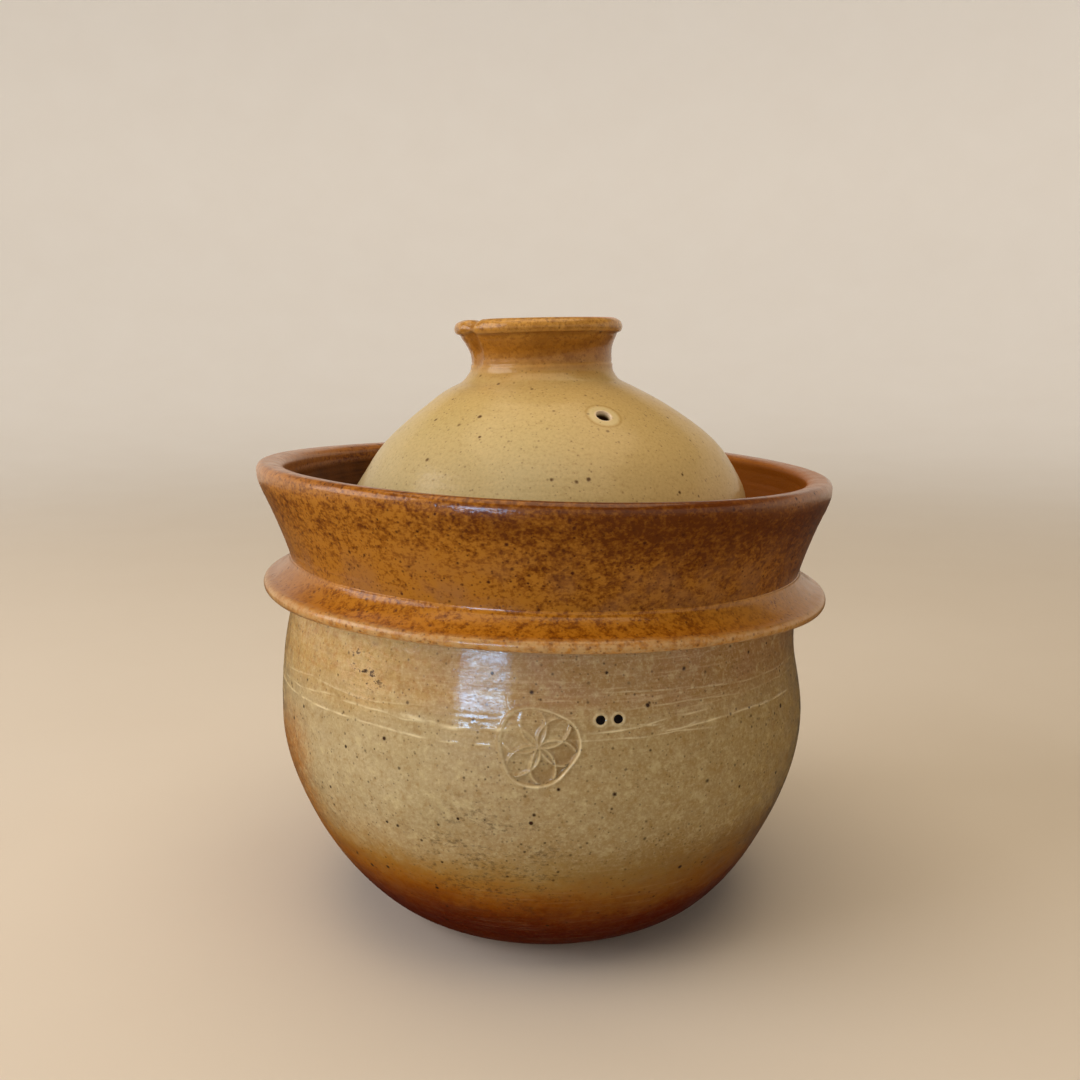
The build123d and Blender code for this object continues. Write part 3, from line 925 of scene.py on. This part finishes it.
def amber_glaze(shader, light, dark, deepest, darkness):
    """Dense amber mottle: fine iron grains in a lighter glaze, more of them where darkness is high."""
    grain = shader.noise(0.9, 3, 0.6, stretch=(0.8, 0.8, 1))
    coarse = shader.noise(2.2, 4, 0.65, stretch=(0.7, 0.7, 1), seed=4.0)
    blend = shader.plus(shader.times(grain, 0.5), shader.times(coarse, 0.5))
    cover = shader.plus(blend, shader.times(shader.math("SUBTRACT", darkness, 0.5), 0.1))
    colour = shader.mix(shader.ease(cover, 0.42, 0.55), light, dark)
    tint = shader.mix(shader.ease(darkness, 0.3, 1.6, 0, 0.6), colour, deepest)
    return shader.mix(shader.ease(cover, 0.52, 0.63, 0, 0.85), tint, deepest)


def amber_specks(shader):
    """Small, dense iron specks of the amber glaze."""
    large = shader.times(shader.spots(2.6, 0.5, 0.6), 0.7)
    return shader.math("MAXIMUM", large, shader.times(shader.spots(1.4, 0.32, 0.9, seed=2.0), 0.55))


def collar_material():
    """Amber-brown collar: darkest at the front right and under the lip. A pale sheen is painted where
    it turns away at the sides, and the lip's thin glaze is paler at the sides only, partly painted
    sheen."""
    shader = Shader("amber_glaze_collar")
    right = shader.ease(shader.toward(40), 0.5, 0.98, 0.0, 0.9)
    under_lip = shader.ease(shader.z, 124, 137, 0, 0.5)
    low = shader.ease(shader.z, 126, 115, 0, -0.3)
    cloud = shader.sway(1.4, 22, 3)
    darkness = shader.plus(shader.plus(right, under_lip), shader.plus(low, cloud))
    colour = amber_glaze(shader, (164, 103, 27), (132, 74, 8), (88, 39, 2), darkness)
    pink = shader.times(shader.ease(shader.noise(16, 3, seed=7.0), 0.42, 0.62),
                       shader.ease(shader.z, 134, 116, 0, 0.6))
    colour = shader.mix(pink, colour, (146, 96, 50))
    # Painted sheen: paler where the collar turns away at the left and right sides.
    sides = shader.math("ABSOLUTE", shader.toward(90))
    turned = shader.plus(sides, shader.times(shader.noise(7, 3, seed=25.0), 0.12))
    colour = shader.mix(shader.ease(turned, 0.9, 1.06, 0, 0.45), colour, (172, 120, 76))
    # The lip's crest paler at the sides: thin glaze, with painted sheen there.
    thin_glaze_and_painted_light = shader.times(shader.attribute("pale"), shader.ease(sides, 0.45, 0.95, 0.0, 0.4))
    colour = shader.mix(thin_glaze_and_painted_light, colour, (180, 132, 90))
    specks = amber_specks(shader)
    colour = shader.mix(specks, colour, (70, 28, 3))
    below_lip = shader.ease(shader.z, 142, 138.5)
    inner = shader.times(inside_mask(shader), below_lip)
    colour = shader.mix(inner, colour, inner_glaze(shader))
    rough = shader.satin(0.3, 0.42)
    shine = shader.ease(inner, 0, 1, 1, 0.15)
    return shader.finish(colour, rough, glaze_relief(shader, specks), shine, coat=0.5)


def flange_material():
    """Orange-amber flange with a pale edge, pinkish at the left and lighter at the right."""
    shader = Shader("amber_glaze_flange")
    cloud = shader.sway(1.4, 20, 3)
    darkness = shader.plus(shader.ease(shader.toward(10), 0.0, 1.0, -0.1, 0.4), cloud)
    colour = amber_glaze(shader, (178, 112, 25), (144, 81, 6), (102, 49, 2), darkness)
    left = shader.times(shader.ease(shader.toward(-80), 0.78, 1.0), 0.7)
    colour = shader.mix(left, colour, (154, 106, 64))
    right = shader.times(shader.ease(shader.toward(85), 0.45, 0.95), 0.7)
    colour = shader.mix(right, colour, (182, 128, 46))
    worn = shader.ease(shader.noise(2.4, 4, 0.65), 0.36, 0.62, 0.25, 0.95)
    edge = shader.times(shader.attribute("pale"), worn)
    colour = shader.mix(edge, colour, (184, 142, 88))
    specks = amber_specks(shader)
    colour = shader.mix(shader.times(specks, 0.8), colour, (76, 34, 6))
    rough = shader.satin(0.3, 0.42)
    return shader.finish(colour, rough, glaze_relief(shader, specks), 1.0, coat=0.55)


def lid_material(name):
    """Lid glaze: beige, satin dome, warmer at the neck, amber knob with a bare top, and a pale wiped
    ring round the steam hole. The brim that rests in the pot is bare clay."""
    shader = Shader(name)
    wander = shader.sway(5, 9, 3)
    level = shader.plus(shader.z, wander)
    colour = shader.bands(
        level, (120, (180, 171, 134)), (148, (184, 171, 130)), (160, (189, 170, 117)),
        (171, (193, 164, 104)), (175, (184, 141, 74)), (179, (176, 121, 46)),
        (184, (176, 120, 42)), (187, (196, 146, 68)), (192, (202, 156, 84)),
    )
    cloud = shader.ease(shader.noise(26, 3, seed=9.0), 0.35, 0.65, 0, 0.35)
    dome = shader.ease(level, 174, 168)
    colour = shader.mix(shader.times(cloud, dome), colour, (190, 172, 126))
    right = shader.times(shader.ease(shader.toward(60), 0.3, 1.0, 0, 0.6), dome)
    colour = shader.mix(right, colour, (200, 172, 112))
    amber = shader.ease(level, 173, 179)
    grain = shader.times(shader.ease(shader.noise(1.2, 4, 0.7), 0.48, 0.64, 0, 0.55), amber)
    colour = shader.mix(grain, colour, (122, 72, 14))
    patch = shader.times(shader.ease(shader.noise(3.4, 4, 0.65, seed=23.0), 0.4, 0.62, 0, 0.4), amber)
    colour = shader.mix(patch, colour, (132, 82, 20))
    mottle = shader.noise(0.9, 3, 0.65)
    light = shader.times(shader.ease(mottle, 0.48, 0.7, 0, 0.3), dome)
    colour = shader.mix(light, colour, (212, 190, 138))
    colour = shader.mix(shader.ease(mottle, 0.5, 0.3, 0, 0.25), colour, (140, 102, 48))
    # Painted shade in the knob's groove and under its lip's step.
    colour = shader.mix(shader.times(shader.attribute("deep"), 0.55), colour, (122, 74, 22))
    # Pale: thin glaze on the dome's bends and at the knob's neck line, with painted highlights on the
    # knob's lip edge and groove beads.
    colour = shader.mix(shader.times(shader.attribute("pale"), 0.5), colour, (220, 174, 106))
    point, out = hole_axis()
    wiped = shader.near(*(value / MM for value in point), 7.0)
    rim = shader.times(shader.ease(wiped, 0.14, 0.22), shader.ease(wiped, 0.32, 0.24))
    colour = shader.mix(shader.times(rim, 0.4), colour, (160, 128, 60))
    colour = shader.mix(shader.ease(wiped, 0.26, 0.42, 0, 0.75), colour, (212, 198, 152))
    colour = shader.mix(shader.ease(wiped, 0.55, 0.68, 0, 0.85), colour, (232, 214, 192))
    # Painted shade inside the steam hole.
    hole_shade = shader.near(*((point - out * 5 * MM) / MM), 4.4)
    colour = shader.mix(shader.ease(hole_shade, 0.0, 0.25), colour, (64, 42, 22))
    specks = iron_specks(shader, 0.65, 0.35)
    colour = shader.mix(specks, colour, (80, 50, 20))
    brim = shader.ease(shader.z, SEAT + 7.5, SEAT + 5.5)
    colour = shader.mix(brim, colour, bare_clay(shader))
    top = shader.ease(shader.z, KNOB_TOP - 0.55, KNOB_TOP - 0.15)
    colour = shader.mix(top, colour, (206, 146, 116))
    rough = shader.satin(0.36, 0.48)
    bare = shader.math("MAXIMUM", brim, top)
    rough = shader.math("MAXIMUM", rough, shader.times(bare, 0.85))
    shine = shader.ease(level, 158, 176, 0.6, 1.0)
    return shader.finish(colour, rough, glaze_relief(shader, specks, 0.15), shine, coat=0.6)


def slip_material():
    """Glossy, nearly black iron slip."""
    shader = Shader("iron_slip")
    colour = shader.mix(shader.ease(shader.noise(0.6, 2), 0.4, 0.7), (10, 6, 5), (26, 16, 12))
    return shader.finish(colour, 0.35, shader.noise(0.4, 2), 0.5, coat=0.0)


# ==== pieces

def even(step):
    """Spacing of the rings that is the same all along the outline."""
    return lambda radius, height: step + 0 * radius


def bowl_spacing(radius, height):
    """Close rings where the seal, the dots and the glaze lines are, wide ones inside."""
    outside = radius > 79.5 - 0.9 * np.maximum(0, 50 - height)
    shoulder = np.where((height > 88) & (height < 93), 0.3, 0.85)
    close = np.where((height > 66) & (height < 89), 0.2, shoulder)
    return np.where(outside, close, 2.4)


def flange_spacing(radius, height):
    """Close rings at the fillet where the flange leaves the collar."""
    return np.where(radius < 84.5, 0.13, 0.5)


def make_bowl():
    azimuths = columns(86, 1.0, 0.24, *DETAILED_SECTOR)
    piece = turned_piece("bowl", azimuths, bowl_spacing, shape_bowl)
    return stand_in(piece, "bowl", "pot", bowl_material())


def make_collar():
    piece = turned_piece("collar", columns(LIP_RADIUS, 1.3), even(0.7), shape_collar)
    return stand_in(piece, "collar", "pot", collar_material())


def make_flange():
    piece = turned_piece("flange", columns(LIP_RADIUS, 1.3), flange_spacing, shape_flange)
    return stand_in(piece, "flange", "pot", flange_material())


def make_dome():
    piece = turned_piece("lid_dome", columns(65, 1.2), even(0.9), shape_dome)
    pierce_dome(piece)
    return stand_in(piece, "lid_dome", "lid", lid_material("ash_glaze_lid"))


def make_knob():
    piece = turned_piece("lid_knob", columns(KNOB_RADIUS, 0.45), even(0.4), shape_knob)
    return stand_in(piece, "lid_knob", "lid", lid_material("amber_glaze_knob"))


def make_dots():
    """Two shallow, round drops of slip in their pockets."""
    turns, level = dot_azimuths()
    sides = 40
    places = []
    faces = []
    for turn in turns:
        yaw = math.radians(turn)
        out = Vector((math.sin(yaw), -math.cos(yaw), 0.13)).normalized()
        across = Vector((math.cos(yaw), math.sin(yaw), 0))
        up = out.cross(across) * -1
        reach = DOT_REACH + float(shoulder_swell(turn, DOT_REACH, level))
        centre = Vector((math.sin(yaw), -math.cos(yaw), 0)) * reach + Vector((0, 0, level))
        centre += Vector(pot_lean(np.array(centre)))
        faces += ring_faces(len(places), len(DOT_OUTLINE), sides)
        for radius, proud in DOT_OUTLINE:
            for k in range(sides):
                spin = 2 * math.pi * k / sides
                ring = across * math.cos(spin) + up * math.sin(spin)
                uneven = 1 + 0.03 * math.sin(3 * spin + turn)
                places.append((centre + out * proud + ring * radius * uneven) * MM)
    piece = add_mesh("capacity_dots_slip", places, faces)
    tidy_mesh(piece.data)
    return stand_in(piece, "capacity_dots", "pot", slip_material())


def tidy_mesh(mesh):
    """Joins doubled points, turns the faces outward and shades them smooth."""
    work = bmesh.new()
    work.from_mesh(mesh)
    bmesh.ops.remove_doubles(work, verts=work.verts, dist=0.001 * MM)
    bmesh.ops.recalc_face_normals(work, faces=work.faces)
    work.to_mesh(mesh)
    work.free()
    mesh.polygons.foreach_set("use_smooth", [True] * len(mesh.polygons))
    mesh.set_sharp_from_angle(angle=math.radians(60))


# ==== stage, light and camera

# (reach, height) points of the floor and of the backdrop that curves up from it, in metres
FLOOR = ((0, 0), (0.3, 0), (0.6, 0), (0.9, 0))
BACKDROP = (
    (0.9, 0), (1.2, 0), (1.45, 0.02), (1.65, 0.07), (1.85, 0.18), (2.0, 0.34), (2.1, 0.55), (2.15, 1.2),
)

# Window panes: height of the middle in metres, how tall, and watts
WINDOW_PANES = ((0.046, 0.062, 1.9), (0.150, 0.032, 1.05))
WINDOW_PLACE = (-0.355, -0.825)
WINDOW_WIDTH = 0.29
WINDOW_COLOUR = (0.38, 0.65, 1.0)

CAMERA_PLACE = (-0.0019, -0.3547, 0.1811)
CAMERA_DOWN = 10.11


def make_stage():
    """Pale floor, and a backdrop that curves up from it all round and glows a little."""
    shader = Shader("pale_stage")
    colour = shader.mix(shader.noise(90, 2), (218, 214, 208), (215, 210, 203))
    glow = shader.ease(shader.radius, 450, 1900, 0, 0.42)
    material = shader.finish(colour, 0.85, shader.noise(3, 2), 0.3, depth=0.02, glow=glow)
    floor = sweep("stage_floor", FLOOR, material)
    floor.visible_glossy = False
    floor.visible_shadow = False
    sweep("stage_backdrop", BACKDROP, material)


def sweep(name, profile, material):
    """Stage surface swept round the axis through (reach, height) points in metres."""
    sides = 128
    turns = [2 * math.pi * k / sides for k in range(sides)]
    places = [(r * math.cos(turn), r * math.sin(turn), z) for r, z in profile for turn in turns]
    stage = add_mesh(name, places, ring_faces(0, len(profile), sides))
    tidy_mesh(stage.data)
    stage.data.materials.append(material)
    return stage


def add_softbox(name, place, aim, width, height, power, colour):
    """Rectangular studio light at a place, aimed at a point, not seen by the camera."""
    light = bpy.data.lights.new(name, "AREA")
    light.shape = "RECTANGLE"
    light.size = width
    light.size_y = height
    light.energy = power
    light.color = colour
    lamp = bpy.data.objects.new(name, light)
    lamp.location = place
    lamp.rotation_euler = (Vector(aim) - Vector(place)).to_track_quat("-Z", "Y").to_euler()
    lamp.visible_camera = False
    bpy.context.collection.objects.link(lamp)
    return lamp


def make_lights(lit):
    """Soft daylight from the left, warm light above, and a bluish two-pane window low at the front
    left that only lights the pieces in lit."""
    middle = (0, 0, 0.09)
    add_softbox("daylight", (-1.15, -0.35, 0.62), middle, 1.0, 0.9, 11.0, srgb(255, 246, 238))
    add_softbox("ceiling", (0.0, -0.1, 1.5), middle, 1.6, 1.6, 17.5, srgb(255, 228, 190))
    receivers = bpy.data.collections.new("window_receivers")
    for piece in lit:
        receivers.objects.link(piece)
    for level, tall, power in WINDOW_PANES:
        place, aim = (*WINDOW_PLACE, level), (0, 0, level)
        pane = add_softbox("window", place, aim, WINDOW_WIDTH, tall, power, WINDOW_COLOUR)
        pane.light_linking.receiver_collection = receivers
    world = bpy.data.worlds.new("studio")
    world.use_nodes = True
    background = world.node_tree.nodes["Background"]
    background.inputs["Color"].default_value = (*srgb(236, 226, 214), 1)
    background.inputs["Strength"].default_value = 0.05
    bpy.context.scene.world = world


def make_camera():
    """Camera at the height of the knob, close in front and looking slightly down."""
    data = bpy.data.cameras.new("camera")
    data.lens = 36
    data.sensor_width = 36
    data.clip_start = 0.01
    camera = bpy.data.objects.new("camera", data)
    camera.location = CAMERA_PLACE
    camera.rotation_euler = (math.radians(90 - CAMERA_DOWN), 0, 0)
    bpy.context.collection.objects.link(camera)
    bpy.context.scene.camera = camera


pot_pieces = [make_bowl(), make_dots(), make_collar(), make_flange()]
make_dome()
make_knob()
make_stage()
make_lights(pot_pieces)
make_camera()
bpy.context.scene.view_settings.view_transform = "Standard"
